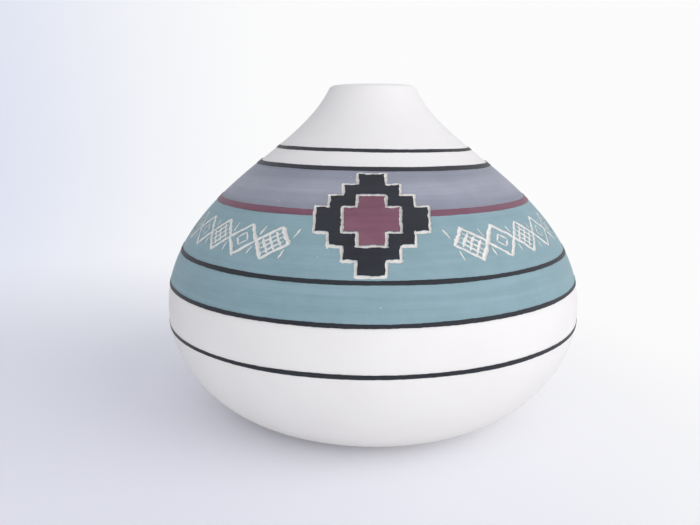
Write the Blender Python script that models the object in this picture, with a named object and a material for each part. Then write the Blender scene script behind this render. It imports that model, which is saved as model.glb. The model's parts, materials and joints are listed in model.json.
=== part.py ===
"""Etched pottery vase: a hollow slip-cast clay body, a glaze lining and painted coats.

Metres, +Z up, the foot stands on z = 0 at the origin and the front faces -Y.
"""
import math

import bmesh
import bpy
import numpy as np

# Clay form, from the foot up
HEIGHT = 0.110
FOOT_RADIUS = 0.037
FOOT_RISE = math.radians(5.1)           # slope of the clay where it leaves the foot
FOOT_REACH = 0.0218                     # how far the curve follows that slope
BELLY_RADIUS = 0.070
BELLY_HEIGHT = 0.0352
BELLY_REACH_DOWN = 0.0114
BELLY_REACH_UP = 0.0052
SHOULDER_RADIUS = 0.05295
SHOULDER_HEIGHT = 0.0723
SHOULDER_LEAN = math.radians(44.8)      # from the vertical
SHOULDER_REACH_DOWN = 0.0258
SHOULDER_REACH_UP = 0.0213
RIM_RADIUS = 0.014
RIM_LEAN = math.radians(25.3)
RIM_REACH = 0.0162
LIP_ROUND = 0.0014

# Clay thickness and foot
WALL = 0.0042
FLOOR = 0.0050
FOOT_RING = 0.006                       # width of the ring that stands on the table
RECESS_DEPTH = 0.0012
RECESS_SLOPE = 0.0012

# Coats: thickness, and the clearance they keep to what they lie on and beside
COAT = 0.0003
GLAZE = 0.0004
CLEARANCE = 0.0003
GLAZE_DROP = 0.009                      # lining stops this far inside the lip

# Bands set out down from the rim, as widths along the clay
NECK_FIELD = 0.0269
NECK_LINE = 0.0014
COLLAR_FIELD = 0.0065
SHOULDER_LINE = 0.00175
SKY_COAT = 0.0153
MAROON_LINE = 0.0021

# Bands set out from the widest circle of the belly. The upper turquoise fills what is between.
BELLY_LINE_RISE = 0.00925
BELLY_LINE = 0.00115
LOWER_TURQUOISE = 0.0099
MIDDLE_LINE = 0.0013
LOWER_LINE_DROP = 0.0031
LOWER_LINE = 0.00125

# Stepped diamonds on the painted field
MEDALLIONS = 3
MEDALLION_STEPS = 4
STEP_RUN = 0.0040
STEP_RISE = 0.0043
CORE_STEPS = 2
ETCH_WIDTH = 0.0012                     # bare line between a border and its core

# Mesh fineness
SEGMENTS = 56
OUTER_STEP = 0.0085
INNER_STEP = 0.012
LIP_POINTS = 3
CURVE_POINTS = 240                      # per stretch of the outline, before it is read in steps
MERGE_DISTANCE = 1e-6
SHARP_ANGLE = math.radians(40)

# Colour and roughness of each finish
FINISHES = {
    "bare_clay": ((0.80, 0.79, 0.78), 0.8),
    "clear_glaze": ((0.72, 0.71, 0.68), 0.25),
    "charcoal_slip": ((0.045, 0.050, 0.065), 0.7),
    "sky_slip": ((0.33, 0.33, 0.41), 0.75),
    "maroon_slip": ((0.24, 0.095, 0.145), 0.7),
    "turquoise_slip": ((0.27, 0.41, 0.47), 0.75),
}
BAND_FINISHES = {
    "sky_coat": "sky_slip",
    "maroon_line": "maroon_slip",
    "upper_turquoise_coat": "turquoise_slip",
    "lower_turquoise_coat": "turquoise_slip",
}


def material(name):
    colour, roughness = FINISHES[name]
    made = bpy.data.materials.new(name)
    made.use_nodes = True
    shader = made.node_tree.nodes["Principled BSDF"]
    shader.inputs["Base Color"].default_value = (*colour, 1.0)
    shader.inputs["Roughness"].default_value = roughness
    shader.inputs["Metallic"].default_value = 0.0
    made.diffuse_color = (*colour, 1.0)
    return made


def finish(name, bm, look):
    """Turn a bmesh into a named object, smooth where it is round and sharp at its edges."""
    mesh = bpy.data.meshes.new(name)
    bm.to_mesh(mesh)
    bm.free()
    mesh.materials.append(look)
    mesh.shade_smooth()
    mesh.set_sharp_from_angle(angle=SHARP_ANGLE)
    made = bpy.data.objects.new(name, mesh)
    bpy.context.scene.collection.objects.link(made)
    return made


def bezier(p0, p1, p2, p3):
    t = np.linspace(0.0, 1.0, CURVE_POINTS)[:, None]
    return ((1 - t) ** 3 * p0 + 3 * (1 - t) ** 2 * t * p1
            + 3 * (1 - t) * t ** 2 * p2 + t ** 3 * p3)


def corner_curve(start, corner, end, count):
    """Points strictly between start and end on the curve that rounds off a corner."""
    t = np.linspace(0.0, 1.0, count + 2)[1:-1, None]
    return list((1 - t) ** 2 * start + 2 * (1 - t) * t * corner + t ** 2 * end)


def leaning(angle):
    return np.array([-math.sin(angle), math.cos(angle)])


class Outline:
    """Outer outline of the clay, read by the distance along it down from the rim."""

    def __init__(self):
        foot = np.array([FOOT_RADIUS, 0.0])
        belly = np.array([BELLY_RADIUS, BELLY_HEIGHT])
        shoulder = np.array([SHOULDER_RADIUS, SHOULDER_HEIGHT])
        self.rim = np.array([RIM_RADIUS, HEIGHT])
        outward = np.array([math.cos(FOOT_RISE), math.sin(FOOT_RISE)])
        straight = leaning(0.0)
        lean = leaning(SHOULDER_LEAN)
        points = np.concatenate([
            bezier(foot, foot + FOOT_REACH * outward, belly - BELLY_REACH_DOWN * straight, belly),
            bezier(belly, belly + BELLY_REACH_UP * straight,
                   shoulder - SHOULDER_REACH_DOWN * lean, shoulder)[1:],
            bezier(shoulder, shoulder + SHOULDER_REACH_UP * lean,
                   self.rim - RIM_REACH * leaning(RIM_LEAN), self.rim)[1:],
        ])[::-1]
        steps = np.hypot(*np.diff(points, axis=0).T)
        self.along = np.concatenate([[0.0], np.cumsum(steps)])
        self.length = self.along[-1]
        self.widest = self.along[points[:, 0].argmax()]
        self.points = points
        down = np.gradient(points, self.along, axis=0)
        down /= np.hypot(down[:, 0], down[:, 1])[:, None]
        self.out = np.stack([-down[:, 1], down[:, 0]], axis=1)

    def at(self, distance, offset=0.0):
        """Point (radius, height) at a distance from the rim, moved out of the clay by offset."""
        read = [np.interp(distance, self.along, column)
                for column in (*self.points.T, *self.out.T)]
        return np.array([read[0] + offset * read[2], read[1] + offset * read[3]])


def stations(start, end, longest):
    """Distances from start to end, evenly spread and no farther apart than longest."""
    return list(np.linspace(start, end, max(1, math.ceil((end - start) / longest)) + 1))


def turned(name, profile, closed, look):
    """Spin a profile about Z. Points on the axis close the shape there."""
    bm = bmesh.new()
    verts = [bm.verts.new((r, 0.0, z)) for r, z in profile]
    edges = [bm.edges.new(pair) for pair in zip(verts, verts[1:])]
    if closed:
        edges.append(bm.edges.new((verts[-1], verts[0])))
    bmesh.ops.spin(bm, geom=verts + edges, cent=(0, 0, 0), axis=(0, 0, 1),
                   angle=2 * math.pi, steps=SEGMENTS)
    bmesh.ops.remove_doubles(bm, verts=bm.verts[:], dist=MERGE_DISTANCE)
    bmesh.ops.recalc_face_normals(bm, faces=bm.faces[:])
    return finish(name, bm, look)


def inner_marks(outline):
    """Distances from the rim where the inside of the wall is set out, down to the floor."""
    fine = outline.along
    meets_floor = fine[np.nonzero(outline.at(fine, -WALL)[1] > FLOOR)[0][-1]]
    mouth, lining = LIP_ROUND + WALL, LIP_ROUND + WALL + GLAZE_DROP
    above = stations(mouth, lining, INNER_STEP)
    return above, stations(lining, meets_floor, INNER_STEP)


def inner_chain(outline, marks, depth, floor):
    """Inside of the clay at a depth under its outer face, from the axis up the wall."""
    return [np.array([0.0, floor])] + [outline.at(s, -depth) for s in reversed(marks)]


def painted_bands(outline):
    """Upper and lower edge of every painted band, as distances along the clay from the rim."""
    shoulder = NECK_FIELD + NECK_LINE + COLLAR_FIELD
    sky = shoulder + SHOULDER_LINE
    maroon = sky + SKY_COAT
    upper_coat = maroon + MAROON_LINE
    belly = outline.widest - BELLY_LINE_RISE - BELLY_LINE
    lower_coat = belly - LOWER_TURQUOISE
    middle = lower_coat - MIDDLE_LINE
    lower = outline.widest + LOWER_LINE_DROP
    return {
        "neck_line": (NECK_FIELD, NECK_FIELD + NECK_LINE),
        "shoulder_line": (shoulder, sky),
        "sky_coat": (sky, maroon),
        "maroon_line": (maroon, upper_coat),
        "upper_turquoise_coat": (upper_coat, middle),
        "middle_line": (middle, lower_coat),
        "lower_turquoise_coat": (lower_coat, belly),
        "belly_line": (belly, belly + BELLY_LINE),
        "lower_line": (lower, lower + LOWER_LINE),
    }


def clay_profile(outline, bands):
    """Inside from the axis up, over the lip, down the outside and under the foot."""
    above, lined = inner_marks(outline)
    inside = inner_chain(outline, above + lined[1:], WALL, FLOOR)
    outside = [outline.at(LIP_ROUND)]
    mouth = inside[-1]
    inner_corner = np.array([outline.at(0.0, -WALL)[0], HEIGHT])
    top = np.array([(outline.rim[0] + inner_corner[0]) / 2, HEIGHT])
    lip = (corner_curve(mouth, inner_corner, top, LIP_POINTS) + [top]
           + corner_curve(top, outline.rim, outside[0], LIP_POINTS))
    edges = sorted({edge for band in bands.values() for edge in band})
    marks = [LIP_ROUND] + edges + [outline.length]
    for upper, lower in zip(marks, marks[1:]):
        outside += [outline.at(s) for s in stations(upper, lower, OUTER_STEP)[1:]]
    ring = FOOT_RADIUS - FOOT_RING
    under = [np.array([ring, 0.0]), np.array([ring - RECESS_SLOPE, RECESS_DEPTH]),
             np.array([0.0, RECESS_DEPTH])]
    return inside + lip + outside + under


def strip_profile(outline, upper, lower):
    """A coat from one distance to another: its outer side down, then its inner side up."""
    marks = stations(upper, lower, OUTER_STEP)
    return ([outline.at(s, CLEARANCE + COAT) for s in marks]
            + [outline.at(s, CLEARANCE) for s in reversed(marks)])


def step_width(height, steps):
    """Half width of a stepped diamond at a height from its centre, zero outside it."""
    return max(0, steps - math.floor(abs(height) / STEP_RISE)) * STEP_RUN


def inside_core(across, height, margin):
    """Whether a point lies in the core, grown by margin on every side."""
    shifts = (-margin, 0.0, margin)
    return any(abs(across) < step_width(height + shift, CORE_STEPS) + margin for shift in shifts
               if step_width(height + shift, CORE_STEPS) > 0)


def patch(name, outline, centre, bearing, grid, kept, look):
    """A painted patch over the coats: the kept cells of a grid, bent to the clay and thickened."""
    seat = 2 * CLEARANCE + COAT
    bm = bmesh.new()
    made = {}

    def corner(across, height):
        key = (round(across, 7), round(height, 7))
        if key not in made:
            r, z = outline.at(centre - height, seat)
            angle = bearing + across / r
            made[key] = bm.verts.new((r * math.sin(angle), -r * math.cos(angle), z))
        return made[key]

    columns, rows = grid
    for left, right in zip(columns, columns[1:]):
        for low, high in zip(rows, rows[1:]):
            if kept((left + right) / 2, (low + high) / 2):
                bm.faces.new([corner(left, low), corner(right, low),
                              corner(right, high), corner(left, high)])
    thickened = finish(name, bm, look)
    solid = thickened.modifiers.new("Coat", "SOLIDIFY")
    solid.thickness = COAT
    solid.offset = 1.0
    return thickened


def both_sides(values):
    """The values and their mirror images, in order."""
    return sorted({round(sign * value, 7) for value in values for sign in (-1, 1)})


def medallions(outline, bands, looks):
    """Stepped diamonds with a core, evenly round the field between two charcoal lines."""
    centre = (bands["shoulder_line"][1] + bands["middle_line"][0]) / 2
    runs = [k * STEP_RUN for k in range(MEDALLION_STEPS + 1)]
    rises = [k * STEP_RISE for k in range(MEDALLION_STEPS + 1)]
    runs += [k * STEP_RUN + ETCH_WIDTH for k in range(1, CORE_STEPS + 1)]
    rises += [k * STEP_RISE + ETCH_WIDTH for k in range(1, CORE_STEPS + 1)]
    grid = (both_sides(runs), both_sides(rises))

    def border_cell(across, height):
        return (abs(across) < step_width(height, MEDALLION_STEPS)
                and not inside_core(across, height, ETCH_WIDTH))

    def core_cell(across, height):
        return inside_core(across, height, 0.0)

    painted = []
    for k in range(MEDALLIONS):
        bearing = 2 * math.pi * k / MEDALLIONS
        painted.append(patch(f"medallion_border_{k + 1}", outline, centre, bearing, grid,
                             border_cell, looks["charcoal_slip"]))
        painted.append(patch(f"medallion_core_{k + 1}", outline, centre, bearing, grid,
                             core_cell, looks["maroon_slip"]))
    return painted


def lining(outline, looks):
    """Glaze inside the clay, from the axis up the wall and back along the clay."""
    marks = inner_marks(outline)[1]
    depth, floor = WALL + CLEARANCE, FLOOR + CLEARANCE
    against_clay = inner_chain(outline, marks, depth, floor)
    in_view = inner_chain(outline, marks, depth + GLAZE, floor + GLAZE)
    return turned("inner_glaze", in_view + against_clay[::-1], False, looks["clear_glaze"])


def main():
    for old in list(bpy.data.objects):
        bpy.data.objects.remove(old, do_unlink=True)
    looks = {name: material(name) for name in FINISHES}
    outline = Outline()
    bands = painted_bands(outline)
    body = turned("clay_body", clay_profile(outline, bands), False, looks["bare_clay"])
    coats = [lining(outline, looks)]
    for name, (upper, lower) in bands.items():
        margin = CLEARANCE if name.endswith("_coat") else 0.0
        profile = strip_profile(outline, upper + margin, lower - margin)
        coats.append(turned(name, profile, True, looks[BAND_FINISHES.get(name, "charcoal_slip")]))
    coats += medallions(outline, bands, looks)
    for coat in coats:
        coat.parent = body


main()
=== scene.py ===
"""Looks of the etched pottery vase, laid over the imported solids.

Painted and scratched shapes are drawn flat, with x along the band, y up the clay and z out of it,
and are then wrapped round the turned clay. Metres, +Z up, the front faces -Y.
"""
import json
import math
import random

import bpy
import numpy as np
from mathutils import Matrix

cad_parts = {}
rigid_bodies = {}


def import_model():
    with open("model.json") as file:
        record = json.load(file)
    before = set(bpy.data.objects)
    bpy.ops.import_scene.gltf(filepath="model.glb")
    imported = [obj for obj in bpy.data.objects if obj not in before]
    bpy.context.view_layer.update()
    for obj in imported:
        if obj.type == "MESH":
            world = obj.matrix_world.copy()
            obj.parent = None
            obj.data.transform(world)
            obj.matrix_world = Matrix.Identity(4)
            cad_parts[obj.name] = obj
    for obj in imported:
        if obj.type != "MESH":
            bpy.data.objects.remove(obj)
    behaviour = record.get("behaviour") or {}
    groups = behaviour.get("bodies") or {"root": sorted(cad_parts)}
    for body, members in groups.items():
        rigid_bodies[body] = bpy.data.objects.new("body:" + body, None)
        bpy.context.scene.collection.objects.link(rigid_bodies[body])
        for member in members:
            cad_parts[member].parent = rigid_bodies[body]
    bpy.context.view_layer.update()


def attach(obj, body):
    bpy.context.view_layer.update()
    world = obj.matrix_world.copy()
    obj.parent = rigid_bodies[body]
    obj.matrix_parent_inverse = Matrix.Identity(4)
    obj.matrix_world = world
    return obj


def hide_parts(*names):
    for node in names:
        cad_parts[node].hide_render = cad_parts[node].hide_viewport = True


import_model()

# Clay form, as in the solids
HEIGHT = 0.110
FOOT_RADIUS = 0.037
FOOT_RISE = math.radians(5.1)
FOOT_REACH = 0.0218
BELLY_RADIUS = 0.070
BELLY_HEIGHT = 0.0352
BELLY_REACH_DOWN = 0.0114
BELLY_REACH_UP = 0.0052
SHOULDER_RADIUS = 0.05295
SHOULDER_HEIGHT = 0.0723
SHOULDER_LEAN = math.radians(44.8)
SHOULDER_REACH_DOWN = 0.0258
SHOULDER_REACH_UP = 0.0213
RIM_RADIUS = 0.014
RIM_LEAN = math.radians(25.3)
RIM_REACH = 0.0162
LIP_ROUND = 0.0014
WALL = 0.0042
FLOOR = 0.0050
FOOT_RING = 0.006
RECESS_DEPTH = 0.0012
RECESS_SLOPE = 0.0012
GLAZE_DROP = 0.009

# Bands, as in the solids: widths along the clay, from the rim and from the widest circle
NECK_FIELD = 0.0269
NECK_LINE = 0.0014
COLLAR_FIELD = 0.0065
SHOULDER_LINE = 0.00175
SKY_COAT = 0.0153
MAROON_LINE = 0.0021
BELLY_LINE_RISE = 0.00925
BELLY_LINE = 0.00115
LOWER_TURQUOISE = 0.0099
MIDDLE_LINE = 0.0013
LOWER_LINE_DROP = 0.0031
LOWER_LINE = 0.00125

# Stepped diamonds, as in the solids
MEDALLIONS = 3
MEDALLION_STEPS = 4
STEP_RUN = 0.0040
STEP_RISE = 0.0043
CORE_STEPS = 2

# True thickness of the coats, which the solids hold thicker
COAT = 0.0001
HAIR = 0.00002
GLAZE = 0.00025
SECOND_COAT = 2 * HAIR + COAT
THIRD_COAT = 3 * HAIR + 2 * COAT

# Hand of the painter: how far each line rises toward the right, and how its edges wander
LINE_LEANS = {
    "neck_line": -0.0007,
    "shoulder_line": -0.0006,
    "maroon_line": 0.0,
    "middle_line": 0.0,
    "belly_line": 0.0005,
    "lower_line": 0.0006,
}
EDGE_WANDER = 0.00010
WANDER_WAVES = (2, 3, 5, 8, 13)         # counted once round the vase
EDGE_RAGGED = 0.00004
RAGGED_WAVES = (47, 71, 109, 163, 221)
WAVE_STRENGTH = (0.5, 1.0)
TUCK = 0.00045                          # how far a coat runs under the line that covers its edge
FIRST_LINE_SEED = 20

# Scratched strokes
STROKE_WIDTH = 0.00105
BOLD_WIDTH = 0.00120
FINE_WIDTH = 0.00080
STROKE_LIFT = 0.00018                   # height of a stroke's middle over the clay
STROKE_POINT_STEP = 0.0008
STROKE_WANDER = 0.00014
STROKE_SHAKE = 0.5                      # new drift at each point, in wanders
STROKE_MEMORY = 0.7                     # share of its drift that a stroke keeps to the next point
STROKE_PRESSURE = (0.74, 1.2)
STROKE_TAPER = (0.55, 0.9)              # thickness of the last points, counted from either end
STROKE_OVERSHOOT = (0.0001, 0.0006)
STROKE_SEED = 41

# Scratched chain of diamonds
CHAIN_LINKS = 7
LINK_HALF_LONG = 0.0055
LINK_HALF_HIGH = 0.0052
INNER_LINK = 0.4                        # size of the diamond inside every second link
HATCH_LINES = 3
HATCH_MARGIN = 0.08                     # share of a hatching line that is left off at either end
TICK_START = 0.35                       # from the chain's middle, in half heights of a link
TICK_END = 0.9
TICK_END_SPREAD = 0.08
TICK_SWAY = 0.0002

# Mesh fineness
TURN_STEPS = 192
CLAY_STEP = 0.0016
INNER_STEP = 0.004
LIP_POINTS = 8
COAT_STEPS = 384
LINE_STEPS = 768
LINE_ROWS = 4
PATCH_CELL_STEPS = 4
CURVE_POINTS = 240
SEARCH_POINTS = 900
SEARCH_BATCH = 2000
LEAST_CUT = 0.00003                     # a face farther than this under the clay's own is a cut one
MERGE_DISTANCE = 1e-6
SMOOTH_ANGLE = math.radians(32)

# Camera of the photograph
CAMERA_DISTANCE = 0.2359
CAMERA_UNDER_RIM = 0.01123
CAMERA_PITCH = math.radians(11.865)
CAMERA_YAW = math.radians(1.836)
CAMERA_LENS = 34.97
SENSOR_WIDTH = 36.0
CAMERA_CLIP = 0.01

# Colours, from dark to pale where a finish runs between two
CHARCOAL = ((0.009, 0.011, 0.016), (0.034, 0.037, 0.048))
SKY = ((0.195, 0.212, 0.265), (0.375, 0.387, 0.462))
MAROON = ((0.140, 0.055, 0.083), (0.245, 0.115, 0.162))
TURQUOISE = ((0.192, 0.304, 0.342), (0.282, 0.408, 0.462))
SLIP_FLECK = (0.72, 0.71, 0.70)
FIRED_CLAY = ((0.785, 0.768, 0.770), (0.820, 0.806, 0.806))
CLAY_TOOTH = (0.70, 0.69, 0.685)
CLAY_SPECK = (0.26, 0.235, 0.22)
SCRATCHED_CLAY = ((0.70, 0.68, 0.655), (0.87, 0.855, 0.83))
CLEAR_GLAZE = ((0.66, 0.645, 0.60), (0.74, 0.73, 0.70))
PAPER = ((0.895, 0.902, 0.984), (0.910, 0.916, 0.990))
PAPER_BOUNCE = (0.925, 0.930, 0.940)    # the paper's colour in the light that it throws on the vase
BRIGHT_GROUND = (0.97, 0.97, 0.97)
# painted shade: the darker, cool colour that the bright ground turns to on the left, where the light falls
# off
SHADED_COOL_GROUND = (0.63, 0.675, 0.85)

# Tone of a slip: the share that each kind of brush mark has in it, and the share of a band's height
STREAK_SHARE = 0.45
BRISTLE_SHARE = 0.20
BLOTCH_SHARE = 0.35
HEIGHT_SHARE = 0.45

# Ground: the shadow that it holds, and the place that the painted shade on its left side is set out from,
# which lies under the floor so that the colour turns softly
SHADOW_MIDDLE = (-0.15, -0.08, 0.0)
SHADOW_FADE = (0.07, 0.37)              # distances where the paper starts and ends to turn bright
GRADE_MIDDLE = (0.0, -CAMERA_DISTANCE, -0.25)
SHADE_LEFT = (-0.03, -0.78)              # where the painted shade starts and is full, as a direction's X
SHADE_AHEAD = (0.30, 0.88)               # and as its Y
FLOOR_RADIUS = 3.0
FLOOR_SIDES = 96
FLOOR_LEVEL = 0.01                      # edges nearer than this to height zero lie on the floor
WALL_RISE = 1.0
WALL_BEND = 0.95
BEND_SEGMENTS = 20

# Light: a broad window at the right, a low weak fill beside it, and a pale room
WINDOW_PLACE = (1.42, -0.75, 0.80)
WINDOW_SIZE = 1.9
WINDOW_POWER = 13.0
WINDOW_COLOUR = (1.0, 0.985, 0.97)
FILL_PLACE = (0.30, -1.55, 0.22)
FILL_AIM = (0.0, 0.0, 0.02)
FILL_SIZE = 1.4
FILL_POWER = 9.7
FILL_COLOUR = (1.0, 0.99, 0.985)
ROOM_COLOUR = (0.945, 0.955, 1.0)
ROOM_STRENGTH = 0.64


# Outline of the clay

def bezier(p0, p1, p2, p3):
    t = np.linspace(0.0, 1.0, CURVE_POINTS)[:, None]
    return ((1 - t) ** 3 * p0 + 3 * (1 - t) ** 2 * t * p1
            + 3 * (1 - t) * t ** 2 * p2 + t ** 3 * p3)


def corner_curve(start, corner, end, count):
    """Points strictly between start and end on the curve that rounds off a corner."""
    t = np.linspace(0.0, 1.0, count + 2)[1:-1, None]
    return list((1 - t) ** 2 * start + 2 * (1 - t) * t * corner + t ** 2 * end)


def leaning(angle):
    return np.array([-math.sin(angle), math.cos(angle)])


class Outline:
    """Outer outline of the clay, read by the distance along it down from the rim."""

    def __init__(self):
        foot = np.array([FOOT_RADIUS, 0.0])
        belly = np.array([BELLY_RADIUS, BELLY_HEIGHT])
        shoulder = np.array([SHOULDER_RADIUS, SHOULDER_HEIGHT])
        self.rim = np.array([RIM_RADIUS, HEIGHT])
        outward = np.array([math.cos(FOOT_RISE), math.sin(FOOT_RISE)])
        straight = leaning(0.0)
        lean = leaning(SHOULDER_LEAN)
        points = np.concatenate([
            bezier(foot, foot + FOOT_REACH * outward, belly - BELLY_REACH_DOWN * straight, belly),
            bezier(belly, belly + BELLY_REACH_UP * straight,
                   shoulder - SHOULDER_REACH_DOWN * lean, shoulder)[1:],
            bezier(shoulder, shoulder + SHOULDER_REACH_UP * lean,
                   self.rim - RIM_REACH * leaning(RIM_LEAN), self.rim)[1:],
        ])[::-1]
        steps = np.hypot(*np.diff(points, axis=0).T)
        self.along = np.concatenate([[0.0], np.cumsum(steps)])
        self.length = self.along[-1]
        self.widest = self.along[points[:, 0].argmax()]
        self.points = points
        down = np.gradient(points, self.along, axis=0)
        down /= np.hypot(down[:, 0], down[:, 1])[:, None]
        self.out = np.stack([-down[:, 1], down[:, 0]], axis=1)

    def at(self, distance, offset=0.0):
        """Point (radius, height) at a distance from the rim, moved out of the clay by offset."""
        read = [np.interp(distance, self.along, column)
                for column in (*self.points.T, *self.out.T)]
        return np.array([read[0] + offset * read[2], read[1] + offset * read[3]])


OUTLINE = Outline()


def painted_bands():
    """Upper and lower edge of every painted band, as distances along the clay from the rim."""
    shoulder = NECK_FIELD + NECK_LINE + COLLAR_FIELD
    sky = shoulder + SHOULDER_LINE
    maroon = sky + SKY_COAT
    upper_coat = maroon + MAROON_LINE
    belly = OUTLINE.widest - BELLY_LINE_RISE - BELLY_LINE
    lower_coat = belly - LOWER_TURQUOISE
    middle = lower_coat - MIDDLE_LINE
    lower = OUTLINE.widest + LOWER_LINE_DROP
    return {
        "neck_line": (NECK_FIELD, NECK_FIELD + NECK_LINE),
        "shoulder_line": (shoulder, sky),
        "sky_coat": (sky, maroon),
        "maroon_line": (maroon, upper_coat),
        "upper_turquoise_coat": (upper_coat, middle),
        "middle_line": (middle, lower_coat),
        "lower_turquoise_coat": (lower_coat, belly),
        "belly_line": (belly, belly + BELLY_LINE),
        "lower_line": (lower, lower + LOWER_LINE),
    }


BANDS = painted_bands()
FIELD_CENTRE = (BANDS["shoulder_line"][1] + BANDS["middle_line"][0]) / 2
MEDALLION_BEARINGS = [2 * math.pi * k / MEDALLIONS for k in range(MEDALLIONS)]


# Hand tools

def select_only(piece):
    bpy.ops.object.select_all(action="DESELECT")
    piece.select_set(True)
    bpy.context.view_layer.objects.active = piece


def edit_all(piece):
    select_only(piece)
    bpy.ops.object.mode_set(mode="EDIT")
    bpy.ops.mesh.select_all(action="SELECT")


def close_edit():
    bpy.ops.object.mode_set(mode="OBJECT")


def drop_selection(kind):
    """Leave nothing selected in the active piece, so that faces or edges can be picked by place."""
    bpy.ops.object.mode_set(mode="EDIT")
    bpy.ops.mesh.select_mode(type=kind)
    bpy.ops.mesh.select_all(action="DESELECT")
    close_edit()


def coordinates(mesh):
    flat = np.zeros(len(mesh.vertices) * 3, np.float32)
    mesh.vertices.foreach_get("co", flat)
    return flat.reshape(-1, 3).astype(float)


def set_coordinates(mesh, points):
    mesh.vertices.foreach_set("co", np.asarray(points, np.float32).ravel())
    mesh.update()


def apply_modifier(piece, kind, **settings):
    modifier = piece.modifiers.new(kind.title(), kind)
    for name, value in settings.items():
        setattr(modifier, name, value)
    select_only(piece)
    bpy.ops.object.modifier_apply(modifier=modifier.name)


def stations(start, end, longest):
    """Distances from start to end, evenly spread and no farther apart than longest."""
    return list(np.linspace(start, end, max(1, math.ceil((end - start) / longest)) + 1))


def spun(name, profile):
    """Draw a profile from the axis out and back, and spin it round the axis."""
    mesh = bpy.data.meshes.new(name)
    links = [(k, k + 1) for k in range(len(profile) - 1)]
    mesh.from_pydata([(r, 0.0, z) for r, z in profile], links, [])
    piece = bpy.data.objects.new(name, mesh)
    bpy.context.scene.collection.objects.link(piece)
    edit_all(piece)
    bpy.ops.mesh.spin(steps=TURN_STEPS, angle=2 * math.pi, center=(0, 0, 0), axis=(0, 0, 1))
    bpy.ops.mesh.select_all(action="SELECT")
    bpy.ops.mesh.remove_doubles(threshold=MERGE_DISTANCE)
    bpy.ops.mesh.normals_make_consistent(inside=False)
    close_edit()
    return piece


def on_clay(bearing, distance, lift):
    """Points in space for bearings round the axis, distances from the rim and lifts off the clay."""
    radius, height = OUTLINE.at(distance, lift)
    return np.stack([radius * np.sin(bearing), -radius * np.cos(bearing), height], axis=-1)


def wrap(piece, bearing):
    """Lay a flat drawing, centred on the painted field, on the clay at a bearing."""
    x, y, z = coordinates(piece.data).T
    distance = FIELD_CENTRE - y
    turn = bearing + x / OUTLINE.at(distance)[0]
    set_coordinates(piece.data, on_clay(turn, distance, z))


def smooth(piece):
    select_only(piece)
    bpy.ops.object.shade_smooth_by_angle(angle=SMOOTH_ANGLE)


def hand_over(piece, node, look):
    """Give a finished piece its look and its place on the body, and hide the node that it stands for."""
    smooth(piece)
    if look:
        piece.data.materials.append(look)
    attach(piece, "root")
    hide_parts(node)


# Turned pieces

def inner_chain(depth, floor, start):
    """Inside of the clay at a depth under its outer face, from the axis up the wall to start."""
    heights = OUTLINE.at(OUTLINE.along, -depth)[1]
    meets_floor = OUTLINE.along[np.nonzero(heights > floor)[0][-1]]
    marks = stations(start, meets_floor, INNER_STEP)
    return [np.array([0.0, floor])] + [OUTLINE.at(s, -depth) for s in reversed(marks)]


def turn_clay():
    """Clay shell: inside from the axis up, over the lip, down the outside and under the foot."""
    inside = inner_chain(WALL, FLOOR, LIP_ROUND + WALL)
    outside = [OUTLINE.at(s) for s in stations(LIP_ROUND, OUTLINE.length, CLAY_STEP)]
    inner_corner = np.array([OUTLINE.at(0.0, -WALL)[0], HEIGHT])
    top = np.array([(RIM_RADIUS + inner_corner[0]) / 2, HEIGHT])
    lip = (corner_curve(inside[-1], inner_corner, top, LIP_POINTS) + [top]
           + corner_curve(top, OUTLINE.rim, outside[0], LIP_POINTS))
    ring = FOOT_RADIUS - FOOT_RING
    under = [np.array([ring, 0.0]), np.array([ring - RECESS_SLOPE, RECESS_DEPTH]),
             np.array([0.0, RECESS_DEPTH])]
    return spun("fired_clay", inside + lip + outside + under)


def turn_lining():
    """Glaze inside the clay, from the axis up the wall and back along the clay."""
    start = LIP_ROUND + WALL + GLAZE_DROP
    in_view = inner_chain(WALL + HAIR + GLAZE, FLOOR + HAIR + GLAZE, start)
    against_clay = inner_chain(WALL + HAIR, FLOOR + HAIR, start)
    return spun("glaze_lining", in_view + against_clay[::-1])


# Painted pieces

def wander(rng, angles, size, waves):
    """A closed wandering line round the vase, as the sum of a few waves with chance phases."""
    total = np.zeros_like(angles)
    for wave in waves:
        total += np.sin(wave * angles + rng.uniform(0, 2 * math.pi)) * rng.uniform(*WAVE_STRENGTH)
    return size * total / math.sqrt(len(waves))


def paint_band(name, edges, leans, lift, steps, rows, seed, ragged):
    """A painted ring between two distances from the rim: a flat strip, wrapped and thickened."""
    rng = random.Random(seed)
    bpy.ops.object.select_all(action="DESELECT")
    bpy.ops.mesh.primitive_grid_add(x_subdivisions=steps, y_subdivisions=rows, size=1.0)
    piece = bpy.context.active_object
    piece.name = piece.data.name = "painted_" + name
    x, y, _ = coordinates(piece.data).T
    turn = 2 * math.pi * x
    drawn = []
    for edge, lean in zip(edges, leans):
        drift = wander(rng, turn, EDGE_WANDER, WANDER_WAVES)
        if ragged:
            drift += wander(rng, turn, EDGE_RAGGED, RAGGED_WAVES)
        drawn.append(edge - lean * np.sin(turn) + drift)
    distance = drawn[0] + (drawn[1] - drawn[0]) * (0.5 - y)
    set_coordinates(piece.data, on_clay(turn, distance, lift))
    edit_all(piece)
    bpy.ops.mesh.remove_doubles(threshold=MERGE_DISTANCE)
    close_edit()
    apply_modifier(piece, "SOLIDIFY", thickness=COAT, offset=1.0)
    return piece


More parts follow.
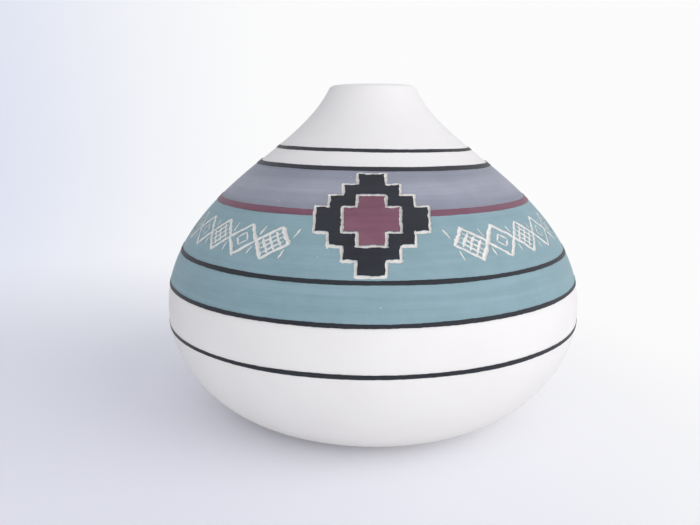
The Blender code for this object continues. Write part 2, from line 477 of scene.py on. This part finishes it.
def paint_bands():
    """Wide coats on the clay, then the lines over their edges."""
    made = {}
    coats = {"sky_coat": ("shoulder_line", "maroon_line"),
             "upper_turquoise_coat": ("maroon_line", "middle_line"),
             "lower_turquoise_coat": ("middle_line", "belly_line")}
    for seed, (name, lines) in enumerate(coats.items()):
        upper, lower = BANDS[name]
        rows = round((lower - upper) / CLAY_STEP)
        leans = [LINE_LEANS[line] for line in lines]
        made[name] = paint_band(name, (upper - TUCK, lower + TUCK), leans, HAIR, COAT_STEPS, rows,
                                seed, False)
    for seed, (name, lean) in enumerate(LINE_LEANS.items()):
        lift = HAIR if name in ("neck_line", "lower_line") else SECOND_COAT
        made[name] = paint_band(name, BANDS[name], (lean, lean), lift, LINE_STEPS, LINE_ROWS,
                                FIRST_LINE_SEED + seed, True)
    return made


def step_width(height, steps):
    """Half width of a stepped diamond at a height from its centre, zero outside it."""
    return max(0, steps - math.floor(abs(height) / STEP_RISE)) * STEP_RUN


def paint_patch(name, bearing, kept):
    """Part of a stepped diamond: a flat grid, cut to its steps, wrapped and thickened."""
    cells = 2 * MEDALLION_STEPS
    steps = cells * PATCH_CELL_STEPS
    bpy.ops.object.select_all(action="DESELECT")
    bpy.ops.mesh.primitive_grid_add(x_subdivisions=steps, y_subdivisions=steps, size=1.0)
    piece = bpy.context.active_object
    piece.name = piece.data.name = name
    bpy.ops.transform.resize(value=(cells * STEP_RUN, cells * STEP_RISE, 1.0))
    bpy.ops.object.transform_apply(location=False, rotation=False, scale=True)
    drop_selection("FACE")
    for face in piece.data.polygons:
        face.select = not kept(face.center.x, face.center.y)
    bpy.ops.object.mode_set(mode="EDIT")
    bpy.ops.mesh.delete(type="FACE")
    bpy.ops.mesh.select_all(action="SELECT")
    bpy.ops.transform.translate(value=(0.0, 0.0, THIRD_COAT))
    close_edit()
    wrap(piece, bearing)
    apply_modifier(piece, "SOLIDIFY", thickness=COAT, offset=1.0)
    return piece


def in_core(x, y):
    return abs(x) < step_width(y, CORE_STEPS)


def in_border(x, y):
    return abs(x) < step_width(y, MEDALLION_STEPS) and not in_core(x, y)


# Scratched strokes

def stepped_outline(steps):
    """Corner points of a stepped diamond, once round from its right side."""
    quarter = []
    for k in range(steps):
        quarter.append(((steps - k) * STEP_RUN, k * STEP_RISE))
        quarter.append(((steps - k) * STEP_RUN, (k + 1) * STEP_RISE))
    mirrored = [(-x, y) for x, y in reversed(quarter)]
    upper = quarter + mirrored
    return upper[1:-1] + [(-x, -y) for x, y in upper[1:-1]]


def diamond(centre, half_long, half_high):
    """Corner points of a plain diamond: right, top, left, bottom."""
    x, y = centre
    return [(x + half_long, y), (x, y + half_high), (x - half_long, y), (x, y - half_high)]


def closed_runs(corners):
    """The straight runs of a closed outline."""
    return list(zip(corners, corners[1:] + corners[:1]))


def hatched(centre, half_long, half_high, lines):
    """Crossed scratches inside a diamond, side by side with its own sides."""
    right, top, left, bottom = (np.array(corner) for corner in diamond(centre, half_long, half_high))
    strokes = []
    for start, end, far_start, far_end in ((left, top, bottom, right), (left, bottom, top, right)):
        for k in range(1, lines + 1):
            share = k / (lines + 1)
            one = start + (far_start - start) * share
            other = end + (far_end - end) * share
            whole = other - one
            strokes.append((tuple(one + whole * HATCH_MARGIN), tuple(one + whole * (1 - HATCH_MARGIN))))
    return strokes


def scratch(rng, run, width):
    """One straight stroke of the point: a tube with an unsteady path and unsteady pressure."""
    start, end = run
    path = np.linspace(start, end, max(2, math.ceil(math.dist(start, end) / STROKE_POINT_STEP) + 1))
    curve = bpy.data.curves.new("stroke", "CURVE")
    curve.dimensions = "3D"
    curve.bevel_depth = 1.0
    curve.bevel_resolution = 1
    curve.use_fill_caps = True
    spline = curve.splines.new("POLY")
    spline.points.add(len(path) - 1)
    radius = math.hypot(width / 2, STROKE_LIFT)
    drift = np.zeros(2)
    for k, (point, (x, y)) in enumerate(zip(spline.points, path)):
        shake = np.array([rng.gauss(0, STROKE_SHAKE), rng.gauss(0, STROKE_SHAKE)])
        drift = STROKE_MEMORY * drift + shake * STROKE_WANDER
        point.co = (x + drift[0], y + drift[1], STROKE_LIFT, 1.0)
        from_end = min(k, len(path) - 1 - k)
        taper = STROKE_TAPER[from_end] if from_end < len(STROKE_TAPER) else 1.0
        point.radius = radius * taper * rng.uniform(*STROKE_PRESSURE)
    stroke = bpy.data.objects.new("stroke", curve)
    bpy.context.scene.collection.objects.link(stroke)
    select_only(stroke)
    bpy.ops.object.convert(target="MESH")
    tube = bpy.context.active_object
    edit_all(tube)
    bpy.ops.mesh.remove_doubles(threshold=MERGE_DISTANCE)
    bpy.ops.mesh.normals_make_consistent(inside=False)
    close_edit()
    return tube


def overshot(rng, run):
    """A run drawn a little past both its ends, as a hand does at a corner."""
    start, end = np.array(run[0]), np.array(run[1])
    over = (end - start) / np.linalg.norm(end - start)
    return [tuple(start - over * rng.uniform(*STROKE_OVERSHOOT)),
            tuple(end + over * rng.uniform(*STROKE_OVERSHOOT))]


def medallion_strokes(rng):
    """Scratches that outline a stepped diamond and its core, each run drawn by itself."""
    runs = closed_runs(stepped_outline(MEDALLION_STEPS)) + closed_runs(stepped_outline(CORE_STEPS))
    return [(overshot(rng, run), STROKE_WIDTH) for run in runs]


def chain_strokes(rng):
    """A scratched chain of diamonds for the turquoise between two medallions."""
    upper, lower = BANDS["upper_turquoise_coat"]
    middle = FIELD_CENTRE - (upper + lower) / 2
    strokes = []
    for k in range(CHAIN_LINKS):
        centre = ((k - (CHAIN_LINKS - 1) / 2) * 2 * LINK_HALF_LONG, middle)
        outline = closed_runs(diamond(centre, LINK_HALF_LONG, LINK_HALF_HIGH))
        strokes += [(overshot(rng, run), BOLD_WIDTH) for run in outline]
        if k % 2:
            inside = closed_runs(diamond(centre, INNER_LINK * LINK_HALF_LONG, INNER_LINK * LINK_HALF_HIGH))
        else:
            inside = hatched(centre, LINK_HALF_LONG, LINK_HALF_HIGH, HATCH_LINES)
        strokes += [(run, FINE_WIDTH) for run in inside]
    for k in range(CHAIN_LINKS + 1):
        x = (k - CHAIN_LINKS / 2) * 2 * LINK_HALF_LONG
        for side in (-1, 1):
            near = middle + side * TICK_START * LINK_HALF_HIGH
            reach = TICK_END + rng.uniform(-TICK_END_SPREAD, TICK_END_SPREAD)
            far = middle + side * reach * LINK_HALF_HIGH
            strokes.append(([(x, near), (x + rng.uniform(-TICK_SWAY, TICK_SWAY), far)], FINE_WIDTH))
    return strokes


def etching():
    """All scratches on the vase as one set of cutters, gathered in a collection."""
    cutters = bpy.data.collections.new("scratches")
    rng = random.Random(STROKE_SEED)
    half_turn = math.pi / MEDALLIONS
    for bearing in MEDALLION_BEARINGS:
        drawn = [(bearing, stroke) for stroke in medallion_strokes(rng)]
        drawn += [(bearing + half_turn, stroke) for stroke in chain_strokes(rng)]
        for place, (run, width) in drawn:
            stroke = scratch(rng, run, width)
            wrap(stroke, place)
            cutters.objects.link(stroke)
            bpy.context.scene.collection.objects.unlink(stroke)
    bpy.context.scene.collection.children.link(cutters)
    return cutters


def cut(piece, cutters):
    """Cut the strokes out of a piece, which leaves it without a look."""
    apply_modifier(piece, "BOOLEAN", operation="DIFFERENCE", operand_type="COLLECTION",
                   collection=cutters, solver="MANIFOLD")
    piece.data.materials.clear()


def clear_away(cutters):
    for stroke in list(cutters.objects):
        bpy.data.meshes.remove(stroke.data)
    bpy.data.collections.remove(cutters)


# Node helpers

def add(tree, kind, sockets=None, **settings):
    """A node with its settings and sockets, where a socket takes a value or another node's output."""
    made = tree.nodes.new(kind)
    for name, value in settings.items():
        setattr(made, name, value)
    for name, value in (sockets or {}).items():
        if isinstance(value, bpy.types.NodeSocket):
            tree.links.new(value, made.inputs[name])
        else:
            made.inputs[name].default_value = value
    return made


def mix_colour(tree, share, first, second):
    mixer = add(tree, "ShaderNodeMix", data_type="RGBA")
    for place, value in ((0, share), (6, first), (7, second)):
        if isinstance(value, bpy.types.NodeSocket):
            tree.links.new(value, mixer.inputs[place])
        elif isinstance(value, tuple):
            mixer.inputs[place].default_value = (*value, 1.0)
        else:
            mixer.inputs[place].default_value = value
    return mixer.outputs[2]


def spread(tree, value, low, high, to_low=0.0, to_high=1.0):
    """Map a value from one range to another, held at both ends."""
    mapped = add(tree, "ShaderNodeMapRange", {"Value": value, "From Min": low, "From Max": high,
                                              "To Min": to_low, "To Max": to_high})
    return mapped.outputs["Result"]


def between(tree, share, low, high):
    """A value that runs from low to high as a share runs from 0 to 1."""
    return spread(tree, share, 0.0, 1.0, low, high)


def combine(tree, operation, first, second):
    made = add(tree, "ShaderNodeMath", operation=operation)
    for place, value in enumerate((first, second)):
        if isinstance(value, bpy.types.NodeSocket):
            tree.links.new(value, made.inputs[place])
        else:
            made.inputs[place].default_value = value
    return made.outputs[0]


def weighted(tree, *terms):
    """Sum of values, each times its weight."""
    total = None
    for value, weight in terms:
        part = combine(tree, "MULTIPLY", value, weight)
        total = part if total is None else combine(tree, "ADD", total, part)
    return total


def stretched_noise(tree, place, scale, detail, roughness=0.55, distortion=0.0):
    """Noise over a place that is stretched by a scale along each axis."""
    mapped = add(tree, "ShaderNodeMapping", {"Vector": place, "Scale": scale})
    made = add(tree, "ShaderNodeTexNoise", {"Vector": mapped.outputs["Vector"], "Scale": 1.0,
                                            "Detail": detail, "Roughness": roughness,
                                            "Distortion": distortion})
    return made.outputs["Fac"]


def new_group(name, *outputs):
    """An empty node group, the place that its marks read, and the values that it puts out.

    The place is moved by the group's shift, so that two coats never show the same marks.
    """
    tree = bpy.data.node_groups.new(name, "ShaderNodeTree")
    tree.interface.new_socket("Shift", in_out="INPUT", socket_type="NodeSocketFloat")
    for label in outputs:
        tree.interface.new_socket(label, in_out="OUTPUT", socket_type="NodeSocketFloat")
    shift = tree.nodes.new("NodeGroupInput").outputs["Shift"]
    place = add(tree, "ShaderNodeTexCoord").outputs["Object"]
    moved = add(tree, "ShaderNodeVectorMath", {0: place, 1: shift}, operation="ADD")
    return tree, moved.outputs["Vector"], tree.nodes.new("NodeGroupOutput").inputs


def brush_marks_group():
    """Marks of a brush drawn round the vase: long streaks, bristle lines and blotches."""
    tree, place, leave = new_group("brush_marks", "Streak", "Bristle", "Blotch")
    marks = {
        "Streak": stretched_noise(tree, place, (16, 16, 430), 4.0, 0.6, 0.35),
        "Bristle": stretched_noise(tree, place, (45, 45, 1700), 3.0, 0.6, 0.2),
        "Blotch": stretched_noise(tree, place, (130, 130, 130), 4.0, 0.6, 0.5),
    }
    for label, noise in marks.items():
        tree.links.new(spread(tree, noise, 0.30, 0.70), leave[label])
    return tree


def clay_grain_group():
    """Grain of fired clay: fine tooth, soft clouding, and sparse specks and pinholes."""
    tree, place, leave = new_group("clay_grain", "Tooth", "Cloud", "Specks")
    tooth = stretched_noise(tree, place, (2600, 2600, 2600), 3.0, 0.65)
    cloud = stretched_noise(tree, place, (38, 38, 38), 3.0, 0.5, 0.4)
    cells = add(tree, "ShaderNodeTexVoronoi", {"Vector": place, "Scale": 240.0})
    chance = add(tree, "ShaderNodeSeparateColor", {"Color": cells.outputs["Color"]})
    near = spread(tree, cells.outputs["Distance"], 0.035, 0.075, 1.0, 0.0)
    few = spread(tree, chance.outputs["Red"], 0.955, 0.965)
    tree.links.new(spread(tree, tooth, 0.25, 0.75), leave["Tooth"])
    tree.links.new(spread(tree, cloud, 0.30, 0.70), leave["Cloud"])
    tree.links.new(combine(tree, "MULTIPLY", near, few), leave["Specks"])
    return tree


BRUSH_MARKS = brush_marks_group()
CLAY_GRAIN = clay_grain_group()


def place_group(tree, group, shift):
    placed = tree.nodes.new("ShaderNodeGroup")
    placed.node_tree = group
    placed.inputs["Shift"].default_value = shift
    return placed.outputs


def new_look(name):
    look = bpy.data.materials.new(name)
    look.use_nodes = True
    return look, look.node_tree, look.node_tree.nodes["Principled BSDF"]


def relief(tree, shader, height, depth, strength):
    bump = add(tree, "ShaderNodeBump", {"Height": height, "Distance": depth, "Strength": strength})
    tree.links.new(bump.outputs["Normal"], shader.inputs["Normal"])


# Finishes

def fired_clay_look():
    """Matte white clay with soft clouding, a fine tooth and a few dark specks."""
    look, tree, shader = new_look("fired_white_clay")
    grain = place_group(tree, CLAY_GRAIN, 0.0)
    body = mix_colour(tree, grain["Cloud"], *FIRED_CLAY)
    toned = mix_colour(tree, between(tree, grain["Tooth"], 0.0, 0.10), body, CLAY_TOOTH)
    speckled = mix_colour(tree, between(tree, grain["Specks"], 0.0, 0.7), toned, CLAY_SPECK)
    tree.links.new(speckled, shader.inputs["Base Color"])
    tree.links.new(between(tree, grain["Cloud"], 0.68, 0.82), shader.inputs["Roughness"])
    shader.inputs["Specular IOR Level"].default_value = 0.35
    pitted = combine(tree, "SUBTRACT", grain["Tooth"], grain["Specks"])
    relief(tree, shader, pitted, 0.00003, 0.35)
    return look


def scratched_clay_look():
    """Bare clay at the bottom of a scratch: creamier, dusty and rough."""
    look, tree, shader = new_look("scratched_clay")
    grain = place_group(tree, CLAY_GRAIN, 0.37)
    place = add(tree, "ShaderNodeTexCoord").outputs["Object"]
    drag = stretched_noise(tree, place, (1500, 1500, 1500), 4.0, 0.7, 0.8)
    dust = spread(tree, drag, 0.32, 0.68)
    tree.links.new(mix_colour(tree, dust, *SCRATCHED_CLAY), shader.inputs["Base Color"])
    tree.links.new(between(tree, grain["Tooth"], 0.80, 0.95), shader.inputs["Roughness"])
    shader.inputs["Specular IOR Level"].default_value = 0.2
    relief(tree, shader, dust, 0.0001, 0.6)
    return look


def slip_look(name, dark, pale, shift, streaks, banded=None):
    """A brushed matte slip that runs from dark to pale along its brush marks.

    banded gives the heights of a band whose tone is darker toward both edges and lighter in its middle.
    """
    look, tree, shader = new_look(name)
    marks = place_group(tree, BRUSH_MARKS, shift)
    grain = place_group(tree, CLAY_GRAIN, shift + 0.11)
    tone = weighted(tree, (marks["Streak"], STREAK_SHARE * streaks),
                    (marks["Bristle"], BRISTLE_SHARE * streaks), (marks["Blotch"], BLOTCH_SHARE))
    tone = combine(tree, "ADD", tone, (STREAK_SHARE + BRISTLE_SHARE) / 2 * (1 - streaks))
    if banded:
        place = add(tree, "ShaderNodeTexCoord").outputs["Object"]
        height = add(tree, "ShaderNodeSeparateXYZ", {"Vector": place}).outputs["Z"]
        low, high = banded
        up = spread(tree, height, low, (low + high) / 2)
        down = spread(tree, height, high, (low + high) / 2)
        # the tone is darker toward both edges of the band and lighter in its middle
        band_middle = combine(tree, "MULTIPLY", up, down)
        tone = weighted(tree, (tone, 1 - HEIGHT_SHARE), (band_middle, HEIGHT_SHARE))
    painted = mix_colour(tree, tone, dark, pale)
    thin = combine(tree, "MULTIPLY", grain["Specks"], 0.5)
    flecked = mix_colour(tree, thin, painted, SLIP_FLECK)
    tree.links.new(flecked, shader.inputs["Base Color"])
    tree.links.new(between(tree, marks["Blotch"], 0.58, 0.74), shader.inputs["Roughness"])
    shader.inputs["Specular IOR Level"].default_value = 0.22
    shader.inputs["Sheen Weight"].default_value = 0.12
    shader.inputs["Sheen Roughness"].default_value = 0.45
    ridges = weighted(tree, (marks["Bristle"], 0.7), (grain["Tooth"], 0.3))
    relief(tree, shader, ridges, 0.00003, 0.4)
    return look


def glaze_look():
    """Thin clear glaze over the clay inside, a little warmer where it pools."""
    look, tree, shader = new_look("clear_glaze")
    grain = place_group(tree, CLAY_GRAIN, 0.73)
    tree.links.new(mix_colour(tree, grain["Cloud"], *CLEAR_GLAZE), shader.inputs["Base Color"])
    tree.links.new(between(tree, grain["Cloud"], 0.16, 0.28), shader.inputs["Roughness"])
    relief(tree, shader, grain["Cloud"], 0.0002, 0.25)
    return look


# Where the scratches went

def bare_the_scratches(clay, look):
    """Give the cut faces of the clay the scratched look: those a little under its outer face."""
    clay.data.materials.append(look)
    count = len(clay.data.polygons)
    centres = np.zeros(count * 3, np.float32)
    clay.data.polygons.foreach_get("center", centres)
    x, y, z = centres.reshape(-1, 3).astype(float).T
    radius = np.hypot(x, y)
    upper = BANDS["shoulder_line"][0]
    lower = BANDS["lower_turquoise_coat"][0]
    marks = np.linspace(upper, lower, SEARCH_POINTS)
    ring, height = OUTLINE.at(marks)
    near = np.nonzero((z < height[0]) & (z > height[-1]))[0]
    slots = np.zeros(count, np.int32)
    for batch in np.array_split(near, max(1, len(near) // SEARCH_BATCH)):
        gaps = np.hypot(radius[batch, None] - ring, z[batch, None] - height)
        closest = gaps.argmin(axis=1)
        under = gaps[np.arange(len(batch)), closest]
        slots[batch[(under > LEAST_CUT) & (under < WALL / 2)]] = 1
    clay.data.polygons.foreach_set("material_index", slots)
    clay.data.update()


# Stage

def select_floor_edges(piece):
    """Select the edges that lie on the floor."""
    heights = coordinates(piece.data)[:, 2]
    for edge in piece.data.edges:
        edge.select = all(abs(heights[k]) < FLOOR_LEVEL for k in edge.vertices)


def eased(tree, value, low, high):
    """Rise from 0 to 1 between two values, with a soft start and end."""
    mapped = add(tree, "ShaderNodeMapRange", {"Value": value, "From Min": low, "From Max": high},
                 interpolation_type="SMOOTHERSTEP")
    return mapped.outputs["Result"]


def ground_colour(tree, facing):
    """Bright ground with painted shade: darker and cool toward the left of what lies behind the vase."""
    axes = add(tree, "ShaderNodeSeparateXYZ", {"Vector": facing})
    left = eased(tree, axes.outputs["X"], *SHADE_LEFT)
    ahead = eased(tree, axes.outputs["Y"], *SHADE_AHEAD)
    # painted shade, darker and cool, over the left and far part of the ground
    painted_shade = combine(tree, "MULTIPLY", left, ahead)
    return mix_colour(tree, painted_shade, BRIGHT_GROUND, SHADED_COOL_GROUND)


def seen_by_eye(tree):
    """1 for what the camera or a reflection looks at, 0 for what only lights the vase."""
    path = add(tree, "ShaderNodeLightPath")
    seen = combine(tree, "MAXIMUM", path.outputs["Is Camera Ray"], path.outputs["Is Glossy Ray"])
    return combine(tree, "MAXIMUM", seen, path.outputs["Is Transmission Ray"])


def paper_look():
    """Pale paper that holds the vase's shadow and fades, for the eye alone, into a bright ground."""
    look, tree, shader = new_look("pale_paper")
    place = add(tree, "ShaderNodeTexCoord").outputs["Object"]
    cloud = stretched_noise(tree, place, (1.5, 1.5, 1.5), 2.0)
    seen = seen_by_eye(tree)
    colour = mix_colour(tree, seen, PAPER_BOUNCE, mix_colour(tree, cloud, *PAPER))
    tree.links.new(colour, shader.inputs["Base Color"])
    shader.inputs["Roughness"].default_value = 0.9
    shader.inputs["Specular IOR Level"].default_value = 0.1

    out = add(tree, "ShaderNodeVectorMath", {0: place, 1: GRADE_MIDDLE}, operation="SUBTRACT")
    facing = add(tree, "ShaderNodeVectorMath", {0: out.outputs["Vector"]}, operation="NORMALIZE")
    # the ground that the eye sees carries painted shade on its left side
    ground = ground_colour(tree, facing.outputs["Vector"])
    glow = add(tree, "ShaderNodeEmission", {"Color": ground})
    away = add(tree, "ShaderNodeVectorMath", {0: place, 1: SHADOW_MIDDLE}, operation="DISTANCE")
    fading = eased(tree, away.outputs["Value"], *SHADOW_FADE)
    share = combine(tree, "MULTIPLY", seen, fading)
    both = add(tree, "ShaderNodeMixShader", {0: share, 1: shader.outputs["BSDF"],
                                             2: glow.outputs["Emission"]})
    tree.links.new(both.outputs["Shader"], tree.nodes["Material Output"].inputs["Surface"])
    return look


def sweep():
    """Pale round floor that bends up into a low wall, seamless from every side."""
    bpy.ops.object.select_all(action="DESELECT")
    bpy.ops.mesh.primitive_circle_add(vertices=FLOOR_SIDES, radius=FLOOR_RADIUS, fill_type="NGON")
    floor = bpy.context.active_object
    floor.name = floor.data.name = "seamless_floor"
    drop_selection("EDGE")
    select_floor_edges(floor)
    bpy.ops.object.mode_set(mode="EDIT")
    bpy.ops.mesh.extrude_edges_move(TRANSFORM_OT_translate={"value": (0.0, 0.0, WALL_RISE)})
    bpy.ops.mesh.select_all(action="DESELECT")
    close_edit()
    select_floor_edges(floor)
    bpy.ops.object.mode_set(mode="EDIT")
    bpy.ops.mesh.bevel(offset=WALL_BEND, segments=BEND_SEGMENTS)
    bpy.ops.mesh.select_all(action="SELECT")
    bpy.ops.mesh.normals_make_consistent(inside=True)
    close_edit()
    select_only(floor)
    bpy.ops.object.shade_smooth()
    floor.data.materials.append(paper_look())


def lamp(name, place, aim, size, power, colour):
    """A soft round lamp that faces what it is aimed at."""
    data = bpy.data.lights.new(name, "AREA")
    data.shape = "DISK"
    data.size = size
    data.energy = power
    data.color = colour
    made = bpy.data.objects.new(name, data)
    made.location = place
    toward = np.subtract(aim, place)
    flat = math.hypot(toward[0], toward[1])
    made.rotation_euler = (math.atan2(flat, -toward[2]), 0.0, math.atan2(-toward[0], toward[1]))
    bpy.context.scene.collection.objects.link(made)


def light_stage():
    """The lamps, and a room whose own light is weaker than the ground that the eye sees in it."""
    middle = (0.0, 0.0, HEIGHT / 2)
    lamp("window", WINDOW_PLACE, middle, WINDOW_SIZE, WINDOW_POWER, WINDOW_COLOUR)
    lamp("low_fill", FILL_PLACE, FILL_AIM, FILL_SIZE, FILL_POWER, FILL_COLOUR)
    world = bpy.data.worlds.new("pale_room")
    world.use_nodes = True
    tree = world.node_tree
    room = tree.nodes["Background"]
    room.inputs["Color"].default_value = (*ROOM_COLOUR, 1.0)
    room.inputs["Strength"].default_value = ROOM_STRENGTH
    facing = add(tree, "ShaderNodeTexCoord").outputs["Generated"]
    # the room that the eye sees carries the same painted shade on its left side
    ground = add(tree, "ShaderNodeBackground", {"Color": ground_colour(tree, facing)})
    both = add(tree, "ShaderNodeMixShader", {0: seen_by_eye(tree), 1: room.outputs["Background"],
                                             2: ground.outputs["Background"]})
    tree.links.new(both.outputs["Shader"], tree.nodes["World Output"].inputs["Surface"])
    bpy.context.scene.world = world


def set_camera():
    data = bpy.data.cameras.new("camera")
    data.lens = CAMERA_LENS
    data.sensor_width = SENSOR_WIDTH
    data.clip_start = CAMERA_CLIP
    camera = bpy.data.objects.new("camera", data)
    camera.location = (0.0, -CAMERA_DISTANCE, HEIGHT - CAMERA_UNDER_RIM)
    camera.rotation_euler = (math.pi / 2 - CAMERA_PITCH, 0.0, CAMERA_YAW)
    bpy.context.scene.collection.objects.link(camera)
    bpy.context.scene.camera = camera


# Making the vase

def band_heights(name):
    """Lower and upper height of a band."""
    upper, lower = BANDS[name]
    return float(OUTLINE.at(lower)[1]), float(OUTLINE.at(upper)[1])


def make_vase():
    """Turn, paint and scratch the vase, then give every piece its finish."""
    clay = turn_clay()
    lining = turn_lining()
    bands = paint_bands()
    borders = [paint_patch(f"charcoal_border_{k + 1}", bearing, in_border)
               for k, bearing in enumerate(MEDALLION_BEARINGS)]
    cores = [paint_patch(f"maroon_core_{k + 1}", bearing, in_core)
             for k, bearing in enumerate(MEDALLION_BEARINGS)]
    cutters = etching()
    scratched = [clay, bands["sky_coat"], bands["maroon_line"], bands["upper_turquoise_coat"]]
    for piece in scratched + borders + cores:
        cut(piece, cutters)
    clear_away(cutters)

    charcoal = slip_look("charcoal_slip", *CHARCOAL, shift=1.3, streaks=0.7)
    sky = slip_look("sky_slip", *SKY, shift=2.1, streaks=1.0, banded=band_heights("sky_coat"))
    maroon = slip_look("maroon_slip", *MAROON, shift=3.7, streaks=0.8)
    turquoise = slip_look("turquoise_slip", *TURQUOISE, shift=4.9, streaks=0.9)

    clay.data.materials.append(fired_clay_look())
    bare_the_scratches(clay, scratched_clay_look())
    hand_over(clay, "clay_body", None)
    hand_over(lining, "inner_glaze", glaze_look())
    finishes = {"sky_coat": ("sky_slip", sky), "maroon_line": ("maroon_slip", maroon),
                "upper_turquoise_coat": ("turquoise_slip", turquoise),
                "lower_turquoise_coat": ("turquoise_slip", turquoise)}
    for name, piece in bands.items():
        slot, look = finishes.get(name, ("charcoal_slip", charcoal))
        hand_over(piece, name, look)
    for k, (border, core) in enumerate(zip(borders, cores)):
        hand_over(border, f"medallion_border_{k + 1}", charcoal)
        hand_over(core, f"medallion_core_{k + 1}", maroon)


make_vase()
sweep()
light_stage()
set_camera()
bpy.context.scene.view_settings.view_transform = "Standard"
